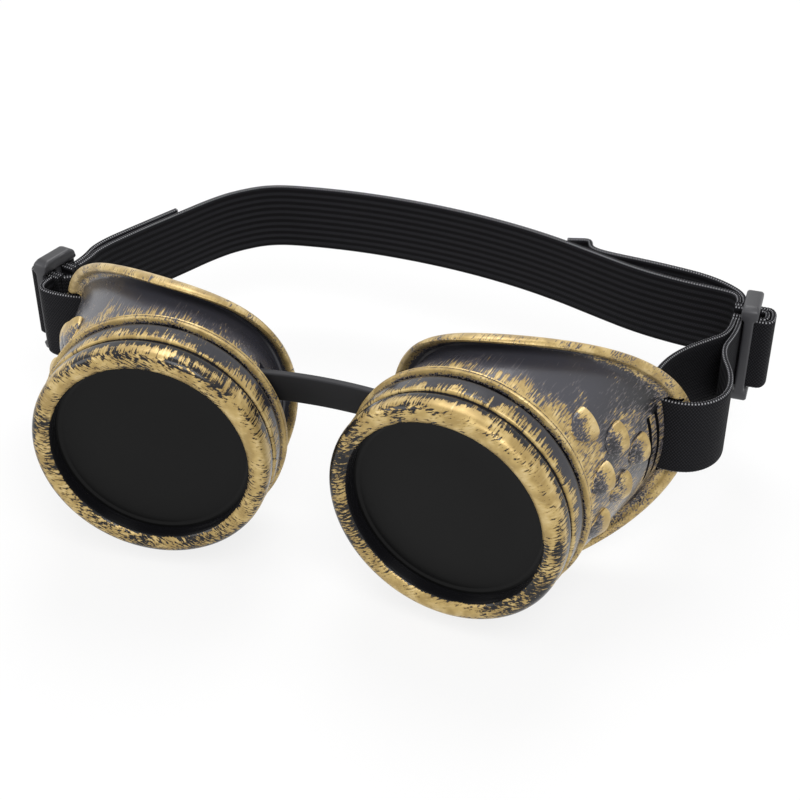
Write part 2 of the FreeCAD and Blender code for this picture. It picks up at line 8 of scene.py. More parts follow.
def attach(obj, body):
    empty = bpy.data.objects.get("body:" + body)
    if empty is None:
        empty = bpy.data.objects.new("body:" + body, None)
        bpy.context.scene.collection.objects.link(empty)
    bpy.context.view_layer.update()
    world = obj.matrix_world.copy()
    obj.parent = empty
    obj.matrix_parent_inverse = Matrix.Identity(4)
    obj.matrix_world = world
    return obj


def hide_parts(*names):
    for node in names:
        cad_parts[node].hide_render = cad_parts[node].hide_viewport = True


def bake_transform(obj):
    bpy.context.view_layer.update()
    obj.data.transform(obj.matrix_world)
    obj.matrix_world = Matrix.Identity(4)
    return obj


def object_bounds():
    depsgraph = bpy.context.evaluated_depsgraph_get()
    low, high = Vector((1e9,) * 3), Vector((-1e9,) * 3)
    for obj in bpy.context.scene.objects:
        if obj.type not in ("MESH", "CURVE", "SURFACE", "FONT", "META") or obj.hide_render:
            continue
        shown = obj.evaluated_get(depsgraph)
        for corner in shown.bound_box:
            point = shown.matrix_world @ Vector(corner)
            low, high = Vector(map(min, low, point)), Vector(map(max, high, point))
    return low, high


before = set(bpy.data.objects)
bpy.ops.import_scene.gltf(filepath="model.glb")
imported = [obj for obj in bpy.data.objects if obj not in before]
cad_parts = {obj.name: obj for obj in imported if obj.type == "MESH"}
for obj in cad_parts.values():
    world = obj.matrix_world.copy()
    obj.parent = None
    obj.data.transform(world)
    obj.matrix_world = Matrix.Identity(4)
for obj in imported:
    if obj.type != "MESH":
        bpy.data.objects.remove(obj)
cad_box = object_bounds()

# Round-lens goggles in antique gold over black, on an elastic strap with two sliders.
# Shapes are laid out in millimetres and brought to metres when a piece is finished.
# An eyecup's own frame has its Y along the lens axis, back from the front of the bezel,
# X out towards the temple and Z up; the left cup is the mirror image of the right one.

MM = 0.001
TOE_IN = math.radians(8.4)
CUP_ORIGIN = Vector((34.4, -30.0, 0.0))
CUP_PLACE = Matrix.Translation(CUP_ORIGIN) @ Matrix.Rotation(-TOE_IN, 4, "Z")
MIRROR = Matrix.Scale(-1, 4, (1, 0, 0))
SIDES = {"right": 1, "left": -1}
STRAP_LEVEL, STRAP_WIDTH, STRAP_THICKNESS = 1.0, 19.0, 1.2
STITCH = 0.36


def smooth(low, high, value):
    """Soft step from 0 to 1 between two values."""
    share = min(max((value - low) / (high - low), 0.0), 1.0)
    return share * share * (3 - 2 * share)


# Shader maths


class Flow:
    """A socket's value, so that shader maths reads as an expression."""

    def __init__(self, nodes, socket):
        self.nodes = nodes
        self.socket = socket

    def other(self, name):
        """Another output of the same node."""
        return Flow(self.nodes, self.socket.node.outputs[name])

    def maths(self, operation, first, second=0.0):
        return self.nodes.node("ShaderNodeMath", {"operation": operation}, {0: first, 1: second})

    def __add__(self, other):
        return self.maths("ADD", self, other)

    def __radd__(self, other):
        return self.maths("ADD", other, self)

    def __sub__(self, other):
        return self.maths("SUBTRACT", self, other)

    def __rsub__(self, other):
        return self.maths("SUBTRACT", other, self)

    def __mul__(self, other):
        return self.maths("MULTIPLY", self, other)

    def __rmul__(self, other):
        return self.maths("MULTIPLY", other, self)

    def __abs__(self):
        return self.maths("ABSOLUTE", self)

    def sine(self):
        return self.maths("SINE", self)

    def cosine(self):
        return self.maths("COSINE", self)

    def step(self, low, high):
        """Soft step from 0 to 1 between two values."""
        return self.nodes.node(
            "ShaderNodeMapRange", {"interpolation_type": "SMOOTHSTEP"},
            {"Value": self, "From Min": low, "From Max": high},
        )


class Nodes:
    """A node tree that is being put together."""

    def __init__(self, tree):
        self.tree = tree

    def feed(self, socket, value):
        if isinstance(value, Flow):
            self.tree.links.new(value.socket, socket)
        else:
            socket.default_value = value

    def node(self, kind, settings=None, values=None, output=0):
        made = self.tree.nodes.new(kind)
        for name, value in (settings or {}).items():
            setattr(made, name, value)
        for name, value in (values or {}).items():
            self.feed(made.inputs[name], value)
        return Flow(self, made.outputs[output])

    def seen(self):
        """1 for rays that come from the camera, straight, mirrored or through a clear body, and else 0."""
        rays = self.node("ShaderNodeLightPath", output="Is Camera Ray")
        result = rays
        for kind in ("Is Glossy Ray", "Is Transmission Ray"):
            result = rays.maths("MAXIMUM", result, rays.other(kind))
        return result


class Finish(Nodes):
    """A node material that is being put together."""

    def __init__(self, name):
        self.material = bpy.data.materials.new(name)
        self.material.use_nodes = True
        super().__init__(self.material.node_tree)
        self.shader = self.tree.nodes["Principled BSDF"]

    def set(self, **values):
        for name, value in values.items():
            self.feed(self.shader.inputs[name.replace("_", " ")], value)

    def own_place(self):
        return self.node("ShaderNodeTexCoord", output="Object")

    def attribute(self, name, output="Fac"):
        return self.node("ShaderNodeAttribute", {"attribute_name": name}, output=output)

    def noise(self, vector, scale=1.0, detail=2.0, roughness=0.5):
        return self.node("ShaderNodeTexNoise", {}, {
            "Vector": vector, "Scale": scale, "Detail": detail, "Roughness": roughness,
        })

    def times(self, vector, factors):
        return self.node("ShaderNodeVectorMath", {"operation": "MULTIPLY"}, {0: vector, 1: factors})

    def shift(self, vector, offset):
        return self.node("ShaderNodeVectorMath", {"operation": "ADD"}, {0: vector, 1: offset})

    def join(self, x, y, z):
        return self.node("ShaderNodeCombineXYZ", {}, {0: x, 1: y, 2: z})

    def split(self, vector):
        x = self.node("ShaderNodeSeparateXYZ", {}, {0: vector})
        return x, x.other("Y"), x.other("Z")

    def mix(self, factor, low, high):
        """Between two colours."""
        return self.node("ShaderNodeMix", {"data_type": "RGBA"}, {0: factor, 6: low, 7: high}, output=2)

    def blend(self, factor, low, high):
        """Between two numbers."""
        return self.node("ShaderNodeMix", {"data_type": "FLOAT"}, {0: factor, 2: low, 3: high})

    def bump(self, height, distance, strength):
        return self.node("ShaderNodeBump", {}, {"Height": height, "Distance": distance, "Strength": strength})


def rgb(red, green, blue):
    return red, green, blue, 1.0


# Finishes

BLACK_GLOSS = rgb(0.006, 0.006, 0.0072)
# Black of the shells, paled by a painted reflection of the light overhead, away from the temple side
SHELL_PAINTED_REFLECTION = rgb(0.046, 0.046, 0.057)
# Black of the ring's band behind the groove, paler as a painted reflection on its glossy side
BAND_PAINTED_REFLECTION = rgb(0.026, 0.026, 0.032)
RUBBED_GREY = rgb(0.17, 0.155, 0.165)
# Deep gold where the coat is thin and in slow patches: partly thin paint, partly painted shade
GOLD_DEEP_AND_SHADE = rgb(0.24, 0.155, 0.052)
GOLD = rgb(0.52, 0.375, 0.145)
# Pale gold for painted highlights on the thick coat
GOLD_PAINTED_HIGHLIGHT = rgb(0.84, 0.69, 0.41)
WHITE = rgb(1, 1, 1)

# Dry brushing: the weight of each pattern in what the brush leaves, and how much has to be left to show
STROKE_WEIGHT, FLECK_WEIGHT, COVER_WEIGHT, PATCH_WEIGHT = 0.74, 0.26, 0.5, 0.42
GOLD_SHOWS = 0.98
# What happens just below and above that level: grey haze, the gold's edge, a thin coat that turns deep,
# partly as painted shade, and a thick coat that carries painted highlights
HAZE, GOLD_EDGE, THIN_COAT, THICK_COAT_HIGHLIGHT = (-0.13, -0.01), (-0.014, 0.014), (-0.01, 0.06), (0.03, 0.16)
PATCH_SCALE, TONE_SCALE = 0.16, 0.24
PAINT_RELIEF = 0.00006
# Fineness of the strokes each way: on a ring's front, round and along its side, and on a cup
FRONT_ALONG, FRONT_ACROSS, FRONT_DEPTH = 0.6, 2.5, 0.4
SIDE_ROUND, SIDE_DEPTH = 66.0, 0.16
CUP_STROKES = (2.9, 0.1, 2.9)
RING_SPECKLE, CUP_SPECKLE = (1.15, 1.15, 1.15), (1.7, 0.45, 1.7)
# Shifts of the patterns, one way on the right and the other way on the left, so that the sides differ
FRONT_SHIFT, SIDE_SHIFT, PLACE_SHIFT = 5.0, 7.0, 40.0
BRUSH_SLOPE = {"right": math.radians(20.0), "left": math.radians(-24.0)}
# Where round a bezel the gold is thinnest: angle from the temple, upwards, and how much less there is
WORN_AT = {
    "right": ((188.0, 0.3), (325.0, 0.32), (128.0, 0.18)),
    "left": ((0.0, 0.24), (98.0, 0.2), (215.0, 0.16), (278.0, 0.24)),
}
WORN_SPREAD = (0.55, 1.0)
BEZEL_END, BAND_START = (6.0, 6.8), (6.1, 6.9)
# Rub of a cup, which also sets a painted reflection: at its least the black is paler, a painted reflection of
# the light overhead, at its most it is deep, and grey round the gold
LEAST_RUB_FULL_SHEEN, MOST_RUB_NO_SHEEN = 0.4, 0.9
# Elastic: ribs on the inner face and rows on the outer one, and the strip along each edge with the stitches
RIB_COUNT, RIB_PHASE, ROW_COUNT = 10, 1.2, 20
STITCH_STRIP = (9.2, 9.36)


def cup_coordinates(finish, sign):
    """Millimetres in the frame of an eyecup."""
    return finish.node("ShaderNodeMapping", {"vector_type": "TEXTURE"}, {
        "Vector": finish.own_place(),
        "Location": (sign * CUP_ORIGIN.x * MM, CUP_ORIGIN.y * MM, 0.0),
        "Rotation": (0.0, 0.0, -sign * TOE_IN),
        "Scale": (sign * MM, MM, MM),
    })


def dry_brushed(finish, place, speckle, strokes, cover, rubbed_black, black, gloss, shine):
    """Gold brushed over glossy black: cover says how much the brush leaves, strokes where its hairs ran."""
    flecks = finish.noise(finish.times(place, speckle), detail=3.0, roughness=0.65)
    patches = finish.noise(place, PATCH_SCALE)
    tone = finish.noise(place, TONE_SCALE)
    left = strokes * STROKE_WEIGHT + flecks * FLECK_WEIGHT
    left = left + cover * COVER_WEIGHT + patches * PATCH_WEIGHT - GOLD_SHOWS
    gold = left.step(*GOLD_EDGE)
    ground = finish.mix(left.step(*HAZE) * rubbed_black, black, RUBBED_GREY)
    body = left.step(*THIN_COAT) * (0.5 + 0.5 * tone.step(0.36, 0.58))
    # Gold turns deep where the coat is thin and in slow patches: thin paint, and painted shade in place of
    # the metal's shading
    deep_and_shaded_gold = finish.mix(body, GOLD_DEEP_AND_SHADE, GOLD)
    # Pale streaks and patches on the thick coat: painted highlights
    painted_highlight = tone.step(0.48, 0.68) * 0.3 + strokes.step(0.56, 0.74) * 0.3
    coat_and_highlight = finish.mix(painted_highlight * left.step(*THICK_COAT_HIGHLIGHT), deep_and_shaded_gold, GOLD_PAINTED_HIGHLIGHT)
    finish.set(
        Base_Color=finish.mix(gold, ground, coat_and_highlight),
        Specular_IOR_Level=shine,
        Metallic=gold * 0.32,
        Roughness=finish.blend(gold, gloss + flecks * 0.1, 0.3 + tone * 0.14),
        Normal=finish.bump(gold * 0.7 + strokes * 0.07 + flecks * 0.06, PAINT_RELIEF, 0.5),
    )


def ring_finish(side):
    """Strokes one way over the bezel's front, and along the axis on its side and on the band."""
    sign = SIDES[side]
    finish = Finish(f"antique_gold_{side}_ring")
    own = cup_coordinates(finish, sign)
    out, depth, up = finish.split(own)
    turn = out.maths("ARCTAN2", up, out)
    slope = BRUSH_SLOPE[side]
    along = out * math.cos(slope) + up * (math.sin(slope) * sign)
    across = up * math.cos(slope) - out * (math.sin(slope) * sign)
    front_grain = finish.join(
        along * FRONT_ALONG, across * FRONT_ACROSS, depth * FRONT_DEPTH + FRONT_SHIFT * sign,
    )
    side_grain = finish.join(
        turn.cosine() * SIDE_ROUND, turn.sine() * SIDE_ROUND, depth * SIDE_DEPTH + SIDE_SHIFT * sign,
    )
    strokes = finish.blend(
        finish.attribute("front"),
        finish.noise(side_grain, detail=3.5, roughness=0.62),
        finish.noise(front_grain, detail=3.0, roughness=0.6),
    )
    cover = finish.attribute("gold")
    on_bezel = 1.0 - depth.step(*BEZEL_END)
    for angle, less in WORN_AT[side]:
        cover = cover - (turn - math.radians(angle)).cosine().step(*WORN_SPREAD) * on_bezel * less
    place = finish.shift(own, (0.0, 0.0, PLACE_SHIFT * sign))
    # Behind the groove the black turns paler: a painted reflection on the band
    black = finish.mix(depth.step(*BAND_START), BLACK_GLOSS, BAND_PAINTED_REFLECTION)
    dry_brushed(
        finish, place, RING_SPECKLE, strokes, cover, rubbed_black=0.06, black=black, gloss=0.13, shine=0.28,
    )
    return finish.material


def cup_finish(side):
    """Strokes from front to back along the shell."""
    sign = SIDES[side]
    finish = Finish(f"antique_gold_{side}_shell")
    place = finish.shift(cup_coordinates(finish, sign), (0.0, 0.0, PLACE_SHIFT * sign))
    strokes = finish.noise(finish.times(place, CUP_STROKES), detail=3.0, roughness=0.58)
    cover = finish.attribute("gold")
    rub_and_sheen = finish.attribute("rub_and_sheen")
    # Away from the temple side the shell's black is paler: a painted reflection of the light overhead
    black = finish.mix((MOST_RUB_NO_SHEEN - rub_and_sheen) * (1 / (MOST_RUB_NO_SHEEN - LEAST_RUB_FULL_SHEEN)), BLACK_GLOSS, SHELL_PAINTED_REFLECTION)
    dry_brushed(
        finish, place, CUP_SPECKLE, strokes, cover, rubbed_black=rub_and_sheen, black=black, gloss=0.2, shine=0.46,
    )
    return finish.material


def lens_finish():
    finish = Finish("dark_lens")
    haze = finish.noise(finish.own_place(), 45.0)
    finish.set(
        Base_Color=finish.mix(haze, rgb(0.003, 0.003, 0.003), rgb(0.0048, 0.0048, 0.0049)),
        Roughness=0.26 + haze * 0.08,
        Specular_IOR_Level=0.13,
    )
    return finish.material


def elastic_finish():
    """Black elastic: broad ribs on the inner face, fine rows outside, pale stitches along both edges."""
    finish = Finish("elastic")
    along, across, face = finish.split(finish.attribute("weave", "Vector"))
    threads = (along * (math.pi / STITCH)).cosine() * -1.0
    ribs = (across * (math.tau * RIB_COUNT / STRAP_WIDTH) + RIB_PHASE).cosine()
    rows = (across * (math.tau * ROW_COUNT / STRAP_WIDTH)).cosine()
    inner = face.step(-0.3, 0.3)
    fuzz = finish.noise(finish.own_place(), 2600.0, roughness=0.6)
    dots = rows * threads
    knit = finish.blend(inner, rows * 0.5 + dots * 0.5, ribs * 0.85 + dots * 0.25)
    # Lighter on the ribs and knit dots, darker in the valleys between them: the knit's threads, with painted
    # shade in the valleys
    light = finish.blend(inner, dots.step(-0.3, 0.9), ribs.step(-0.7, 0.8) * (0.55 + 0.35 * dots))
    cloth_with_valley_shade = finish.mix(light + fuzz * 0.2, rgb(0.002, 0.002, 0.0025), rgb(0.021, 0.021, 0.0245))
    stitch = abs(across).step(*STITCH_STRIP) * threads.step(-0.1, 0.7) * abs(face).step(0.3, 0.62)
    finish.set(
        Base_Color=finish.mix(stitch, cloth_with_valley_shade, rgb(0.36, 0.36, 0.38)),
        Roughness=0.62 + fuzz * 0.25,
        Specular_IOR_Level=0.1,
        Normal=finish.bump(knit * 0.5 + fuzz * 0.25, 0.00024, 0.8),
    )
    return finish.material


def rubber_finish():
    finish = Finish("bridge_rubber")
    place = finish.own_place()
    grain = finish.noise(place, 900.0, detail=3.0)
    smear = finish.noise(finish.times(place, (1.0, 1.0, 4.0)), 60.0)
    skin = finish.mix(smear, rgb(0.0025, 0.0025, 0.003), rgb(0.005, 0.005, 0.006))
    finish.set(
        Base_Color=finish.mix(finish.attribute("edge") * 0.5, skin, rgb(0.04, 0.04, 0.045)),
        Roughness=0.42 + smear * 0.2,
        Specular_IOR_Level=0.22,
        Normal=finish.bump(grain, 0.00004, 0.4),
    )
    return finish.material


def slider_finish():
    finish = Finish("slider_plastic")
    place = finish.own_place()
    grain = finish.noise(place, 1500.0)
    cloud = finish.noise(place, 110.0)
    skin = finish.mix(cloud, rgb(0.013, 0.013, 0.0155), rgb(0.02, 0.02, 0.023))
    finish.set(
        Base_Color=finish.mix(finish.attribute("edge") * 0.4, skin, rgb(0.075, 0.075, 0.083)),
        Roughness=0.36 + cloud * 0.14,
        Specular_IOR_Level=0.42,
        Normal=finish.bump(grain, 0.00003, 0.4),
    )
    return finish.material


# Making pieces

# Edges that turn by more than this are rounded, in radians
SHARP_ANGLE = 0.45
# Points nearer than this become one, in millimetres
SAME_POINT = 0.001


def plain_object(name, bm):
    """An object from a bmesh as it stands."""
    mesh = bpy.data.meshes.new(name)
    bm.to_mesh(mesh)
    bm.free()
    item = bpy.data.objects.new(name, mesh)
    bpy.context.scene.collection.objects.link(item)
    return item


def finished(name, bm, material, smooth_angle=38.0):
    """A finished object from a bmesh that is laid out in millimetres."""
    bmesh.ops.scale(bm, vec=(MM, MM, MM), verts=bm.verts)
    item = plain_object(name, bm)
    item.data.materials.append(material)
    item.data.shade_smooth()
    item.data.set_sharp_from_angle(angle=math.radians(smooth_angle))
    return item


def loft(count, rings):
    """A bmesh with a loop of points drawn out from ring to ring; each ring gives the place of point i.

    Every point is marked with its number in the loop and with its ring, its station.
    """
    bm = bmesh.new()
    number = bm.verts.layers.int.new("number")
    station = bm.verts.layers.int.new("station")
    loop = bmesh.ops.create_circle(bm, cap_ends=False, segments=count, radius=1.0)["verts"]
    for i, vert in enumerate(loop):
        vert[number] = i
    edges = list(bm.edges)
    for k, ring in enumerate(rings):
        if k:
            drawn = bmesh.ops.extrude_edge_only(bm, edges=edges)["geom"]
            loop = [part for part in drawn if isinstance(part, bmesh.types.BMVert)]
            edges = [part for part in drawn if isinstance(part, bmesh.types.BMEdge) and part.is_boundary]
        for vert in loop:
            vert[station] = k
            vert.co = ring(vert[number])
    return bm


def drop_marks(bm):
    """Take a loft's marks off its points."""
    for name in ("number", "station"):
        bm.verts.layers.int.remove(bm.verts.layers.int[name])


def open_edges(bm):
    return [edge for edge in bm.edges if edge.is_boundary]


def sharp_edges(bm):
    return [edge for edge in bm.edges if edge.is_manifold and edge.calc_face_angle() > SHARP_ANGLE]


def round_edges(bm, edges, radius, segments, clamp=False):
    bmesh.ops.bevel(
        bm, geom=edges, offset=radius, affect="EDGES", segments=segments, profile=0.5, material=-1,
        clamp_overlap=clamp,
    )


def turned(profile, steps, closed=True):
    """A profile of radius and depth, turned round the lens axis; an open one starts and ends on the axis."""
    bm = bmesh.new()
    verts = [bm.verts.new((radius, depth, 0.0)) for radius, depth in profile]
    following = verts[1:] + verts[:1] if closed else verts[1:]
    edges = [bm.edges.new(pair) for pair in zip(verts, following)]
    bmesh.ops.spin(
        bm, geom=verts + edges, cent=(0, 0, 0), axis=(0, 1, 0), angle=math.tau, steps=steps, use_merge=True,
    )
    bmesh.ops.remove_doubles(bm, verts=bm.verts, dist=SAME_POINT)
    bmesh.ops.recalc_face_normals(bm, faces=bm.faces)
    return bm


def put_on(side, bm):
    """Move a shape from the frame of an eyecup to its place on one side."""
    bmesh.ops.transform(bm, matrix=CUP_PLACE, verts=bm.verts)
    if side == "left":
        bmesh.ops.transform(bm, matrix=MIRROR, verts=bm.verts)
        bmesh.ops.reverse_faces(bm, faces=bm.faces)


# Bezel rings and lenses: profiles of radius and depth

BEZEL_PROFILE = (
    (23.0, 4.4), (23.0, 3.1), (23.0, 1.95), (23.08, 1.4), (23.32, 0.9), (23.75, 0.47), (24.35, 0.15),
    (25.1, 0.0), (25.85, 0.06), (26.5, 0.3), (27.05, 0.72), (27.45, 1.3), (27.7, 2.0), (27.8, 2.8),
    (27.8, 3.7), (27.8, 4.6), (27.78, 5.3), (27.66, 5.76), (27.38, 5.98), (27.0, 6.05), (26.95, 6.4),
    (27.0, 6.76), (27.5, 6.8), (27.86, 6.9), (28.06, 7.15), (28.1, 7.6), (28.1, 8.6), (28.1, 9.6),
    (28.1, 10.6), (28.1, 11.7), (28.02, 12.1), (27.75, 12.35), (27.3, 12.4), (26.1, 12.4), (26.1, 6.2),
    (25.3, 6.2), (25.3, 4.4),
)
LENS_PROFILE = (
    (0.0, 6.4), (24.9, 6.4), (25.0, 6.25), (25.0, 4.62), (24.85, 4.45), (24.0, 4.42), (22.55, 4.42),
    (22.2, 4.5), (21.95, 4.68), (21.6, 4.76), (14.0, 4.76), (7.0, 4.76), (0.0, 4.76),
)
RING_STEPS, LENS_STEPS = 256, 192
# Gold on a ring: the groove behind the bezel, the inside, and the edge of the opening
GROOVE_START, GROOVE_MIDDLE, GROOVE_TOP = 6.02, 6.4, 27.3
INSIDE_START, INSIDE_RADIUS = 2.6, 26.5
OPENING_EDGE = 24.6
# Levels of gold: about 0.9 covers the black, 0.5 leaves strokes, 0.1 leaves specks
BARE, BEZEL_GOLD, BAND_GOLD, BEAD_GOLD, RIM_GOLD, WALL_GOLD = -0.6, 0.87, 0.78, 0.77, 0.7, 0.06
SLOPE_GOLD, LIP_GOLD = 0.34, 0.9


def ring_gold(radius, depth):
    """How much gold the brush leaves on a ring: most on the bezel's front and the band's front edge."""
    in_groove = depth > GROOVE_START and radius < GROOVE_TOP
    inside = depth > INSIDE_START and radius < INSIDE_RADIUS
    if in_groove or inside:
        return BARE
    if depth > GROOVE_MIDDLE:
        behind_edge = smooth(6.9, 7.4, depth)
        along_band = smooth(7.6, 12.4, depth)
        return BAND_GOLD - 0.22 * behind_edge - 0.36 * along_band
    if radius < OPENING_EDGE:
        return -0.2 + 1.02 * smooth(2.0, 0.7, depth)
    shoulder = smooth(25.9, 26.8, radius) * smooth(2.6, 1.4, depth)
    down_side = smooth(2.3, 4.9, depth)
    return BEZEL_GOLD - 0.18 * shoulder - 0.4 * down_side


def make_ring(side, material):
    bm = turned(BEZEL_PROFILE, RING_STEPS)
    gold = bm.verts.layers.float.new("gold")
    front = bm.verts.layers.float.new("front")
    for vert in bm.verts:
        vert[gold] = ring_gold(math.hypot(vert.co.x, vert.co.z), vert.co.y)
        vert[front] = smooth(1.6, 0.9, vert.co.y)
    put_on(side, bm)
    return finished(f"{side}_bezel", bm, material)


def make_lens(side, material):
    bm = turned(LENS_PROFILE, LENS_STEPS, closed=False)
    put_on(side, bm)
    return finished(f"{side}_dark_lens", bm, material, 30.0)


# Eyecups

SHELL_RADIUS, SHELL_START, SHELL_LENGTH = 28.2, 14.15, 43.5
TEMPLE_SHIFT, FAR_HALF_WIDTH, FAR_HALF_HEIGHT = 9.6, 25.4, 28.2
RIM_CURVE, RIM_SLANT, RIM_AXIS_DEPTH = 41.0, math.radians(18.9), -0.824
ROUND, OUTER_ROWS, INNER_ROWS = 288, 26, 9
# Share of the way back at which the wall leaves the bead
WALL_START = 0.03

# Neck and bead: radius and depth
NECK = ((23.2, 15.3), (23.2, 10.0), (23.2, 6.5), (25.9, 6.5), (25.9, 9.8), (25.9, 13.2))
BEAD = (
    (28.4, 13.2), (28.82, 13.32), (29.02, 13.62), (28.98, 13.95), (28.76, 14.1), (28.74, 14.2),
    (28.96, 14.34), (29.02, 14.66), (28.84, 14.98), (28.5, 15.1), (28.22, 15.16),
)
# Rim: how far beyond the shell, and how far in front of the surface that lies against the face.
# The outer wall runs to its first point, and the inner wall starts from its last one.
RIM = (
    (0.0, 4.9), (0.06, 3.9), (0.26, 3.0), (0.66, 2.3), (1.2, 1.95), (1.75, 1.95), (2.3, 2.2), (2.85, 2.45),
    (3.35, 2.45), (3.8, 2.2), (4.12, 1.75), (4.26, 1.2), (4.18, 0.62), (3.86, 0.2), (3.3, 0.02), (1.6, 0.0),
    (0.0, 0.0), (-1.3, 0.02), (-1.8, 0.24), (-2.0, 0.75),
)
# Two slits and the strap slot in the temple wall: depth, width, height and corner
SLITS = ((42.4, 1.3, 17.0, 0.6), (45.9, 1.3, 17.0, 0.6), (50.0, 2.4, 20.2, 0.8))
SLIT_LEVEL, SLIT_OUT, SLIT_REACH = 1.0, 34.0, 16.0
BRIDGE_SLOT, BRIDGE_SLOT_SIZES, BRIDGE_SLOT_CORNER = (-23.83, 17.6, 11.4), (14.1, 4.8, 8.6), 0.8
# Scoops over the vents: depth and level of each, then the size that all share
HOODS = ((21.5, 17.8), (29.0, 11.2), (36.5, 4.6), (20.8, 6.0), (28.3, -0.6), (20.1, -5.8))
HOOD_HEIGHT, HOOD_HALF_WIDTH, HOOD_LENGTH, HOOD_LIP, HOOD_ROOT = 2.0, 3.7, 6.8, 2.3, 1.2
HOOD_ARCH, HOOD_BASE = 25, 7
HOOD_SHARES = (0.03, 0.1, 0.2, 0.32, 0.46, 0.6, 0.74, 0.86, 0.94)
# Mouth of a scoop: distance in front of the lip, and height and width as shares of the largest
HOOD_MOUTH = ((0.12, 0.99, 1.0), (0.0, 0.93, 0.97), (0.0, 0.8, 0.88), (1.7, 0.62, 0.78))
NUDGE = 0.5


def shell_oval(share):
    """Middle, half width and half height of the shell's outside, a share of the way back."""
    half_width = SHELL_RADIUS + share * (FAR_HALF_WIDTH - SHELL_RADIUS)
    half_height = SHELL_RADIUS + share * (FAR_HALF_HEIGHT - SHELL_RADIUS)
    return share * TEMPLE_SHIFT, half_width, half_height


def shell_point(turn, share, beyond):
    middle, half_width, half_height = shell_oval(share)
    return Vector((
        middle + (half_width + beyond) * math.cos(turn),
        SHELL_START + share * SHELL_LENGTH,
        (half_height + beyond) * math.sin(turn),
    ))


def from_bar(point):
    """A point's two distances from the axis of the bar that the rim follows."""
    across = (point.y - RIM_AXIS_DEPTH) * math.cos(RIM_SLANT) - point.x * math.sin(RIM_SLANT)
    return Vector((across, point.z))


def rim_share(turn, beyond, in_front):
    """Share of the way back at which the shell, moved out, comes this close to the face."""
    near = from_bar(shell_point(turn, 0.0, beyond))
    step = from_bar(shell_point(turn, 1.0, beyond)) - near
    a = step.dot(step)
    b = near.dot(step)
    c = near.dot(near) - (RIM_CURVE - in_front) ** 2
    return (math.sqrt(b * b - a * c) - b) / a


def round_ring(radius, depth):
    def place(i):
        turn = math.tau * i / ROUND
        return Vector((radius * math.cos(turn), depth, radius * math.sin(turn)))
    return place


def rim_ring(beyond, in_front):
    def place(i):
        turn = math.tau * i / ROUND
        return shell_point(turn, rim_share(turn, beyond, in_front), beyond)
    return place


def wall_ring(along, beyond, in_front):
    """Ring of the wall, a share of the way along from its start to the rim."""
    def place(i):
        turn = math.tau * i / ROUND
        share = WALL_START + along * (rim_share(turn, beyond, in_front) - WALL_START)
        return shell_point(turn, share, beyond)
    return place


def wall_out(depth, up):
    """How far out the temple wall lies."""
    middle, half_width, half_height = shell_oval((depth - SHELL_START) / SHELL_LENGTH)
    return middle + half_width * math.sqrt(max(1 - (up / half_height) ** 2, 0.0))


def wall_frame(depth, up):
    """Place on the temple wall, with X out of the wall, Y back along it and Z up along it."""
    at = Vector((wall_out(depth, up), depth, up))
    back = Vector((wall_out(depth + NUDGE, up), depth + NUDGE, up)) - at
    rise = Vector((wall_out(depth, up + NUDGE), depth, up + NUDGE)) - at
    back.normalize()
    out = back.cross(rise).normalized()
    rise = out.cross(back)
    return Matrix.Translation(at) @ Matrix((out, back, rise)).transposed().to_4x4()


def hood_arch(share):
    """Height and width of a scoop, as shares of the largest, a share of the way to its lip."""
    share = min(max(share, 0.01), 1.0)
    return share ** 0.8, math.sqrt(1 - (1 - share) ** 2)


def hood_ring(depth, high, wide):
    """Arch across a scoop, of a share of the full height and width, closed below the wall."""
    def place(i):
        if i < HOOD_ARCH:
            turn = math.pi * i / (HOOD_ARCH - 1)
            out = high * HOOD_HEIGHT * math.sin(turn) ** 0.85
            across = math.cos(turn)
        else:
            out = -HOOD_ROOT
            across = 2 * (i - HOOD_ARCH + 1) / (HOOD_BASE + 1) - 1
        return Vector((out, depth, wide * HOOD_HALF_WIDTH * across))
    return place


def add_hood(bm, depth, up):
    """Scoop over a vent: rises from the wall towards the back and ends in an open mouth."""
    rings = [hood_ring(HOOD_LIP - HOOD_LENGTH * (1 - share), *hood_arch(share)) for share in HOOD_SHARES]
    rings += [hood_ring(HOOD_LIP - before, high, wide) for before, high, wide in HOOD_MOUTH]
    scoop = loft(HOOD_ARCH + HOOD_BASE, rings)
    drop_marks(scoop)
    bmesh.ops.holes_fill(scoop, edges=open_edges(scoop), sides=0)
    bmesh.ops.recalc_face_normals(scoop, faces=scoop.faces)
    bmesh.ops.transform(scoop, matrix=wall_frame(depth, up), verts=scoop.verts)
    add_to(bm, scoop)


def add_box(bm, middle, sizes, corner, turn=0.0):
    """Box with rounded edges along X."""
    box = bmesh.new()
    bmesh.ops.create_cube(box, size=1.0)
    bmesh.ops.scale(box, vec=sizes, verts=box.verts)
    edges = [edge for edge in box.edges if abs(edge.verts[0].co.x - edge.verts[1].co.x) > 0.1]
    round_edges(box, edges, corner, 4)
    bmesh.ops.rotate(box, cent=(0, 0, 0), matrix=Matrix.Rotation(turn, 3, "Z"), verts=box.verts)
    bmesh.ops.translate(box, vec=middle, verts=box.verts)
    add_to(bm, box)


def add_to(bm, other):
    """Move all of one bmesh into another."""
    mesh = bpy.data.meshes.new("loose")
    other.to_mesh(mesh)
    other.free()
    bm.from_mesh(mesh)
    bpy.data.meshes.remove(mesh)


def joined(base, tool, operation):
    """Join a tool to a base, or cut it out, for good."""
    change = base.modifiers.new("join", "BOOLEAN")
    change.operation = operation
    change.solver = "EXACT"
    change.object = tool
    mesh = bpy.data.meshes.new_from_object(base.evaluated_get(bpy.context.evaluated_depsgraph_get()))
    base.modifiers.clear()
    base.data = mesh
    bpy.data.objects.remove(tool)


